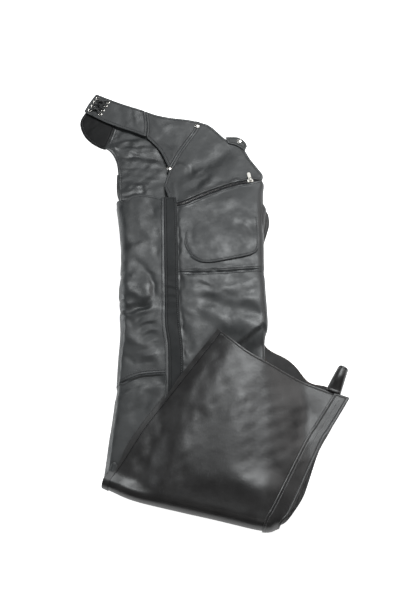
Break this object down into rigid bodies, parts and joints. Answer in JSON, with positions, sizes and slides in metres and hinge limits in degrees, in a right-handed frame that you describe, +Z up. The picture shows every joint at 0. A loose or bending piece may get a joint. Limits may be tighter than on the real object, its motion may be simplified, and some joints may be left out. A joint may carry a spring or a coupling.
{
  "type": "folded leather chaps",
  "caption": "Black leather riding chaps with a laced back and a zipped thigh pocket, folded in half with the calves folded up.",
  "frame": {"origin": "middle of the part's box, on the surface that it lies on", "axes": "+Y up the garment towards the waist, +X towards the wearer's front edge, +Z up from the surface"},
  "size_m": [0.4936, 0.8926, 0.0452],
  "materials": {
    "shell_leather": "black grained cowhide, satin",
    "inner_leather": "black, smooth inner face, slightly glossy",
    "raw_edge": "raw cut hem, matt, brownish black",
    "zip_tape": "woven polyester tape, matt black",
    "nickel": "nickel plate, lightly worn",
    "lace_leather": "round black leather lace, dull"
  },
  "bodies": {
    "garment": {"hidden_layers": "inner_leather", "hidden_waist_layers": "inner_leather", "folded_calf_layers": "inner_leather", "under_waistband": "inner_leather", "under_hip": "inner_leather", "waistband_back": "shell_leather", "hip_yoke": "shell_leather", "front_panel": "shell_leather", "thigh_front": "shell_leather", "pocket_pouch": "shell_leather", "knee_front": "shell_leather", "back_thigh": "shell_leather", "back_shin": "shell_leather", "side_placket": "shell_leather", "placket_piping": "shell_leather", "calf_panel": "shell_leather", "calf_placket": "shell_leather", "calf_binding": "shell_leather", "front_strap": "shell_leather", "rolled_corner": "shell_leather", "under_hem": "raw_edge", "pocket_zip_tape": "zip_tape", "pocket_slider": "nickel", "snap_1": "nickel", "snap_2": "nickel", "snap_3": "nickel", "eyelet_left_1": "nickel", "eyelet_left_2": "nickel", "eyelet_left_3": "nickel", "eyelet_left_4": "nickel", "eyelet_right_1": "nickel", "eyelet_right_2": "nickel", "eyelet_right_3": "nickel", "eyelet_right_4": "nickel", "lace_over": "lace_leather", "lace_under": "lace_leather"},
    "zip_pull": {"pull_tab": "nickel"}
  },
  "joints": [
    {"name": "pull_swing", "type": "hinge", "parent": "garment", "child": "zip_pull", "pos_m": [0.08632, 0.22708, 0.0229], "axis": [0.9896, 0.1425, -0.0217], "range_deg": [0, 165]}
  ]
}
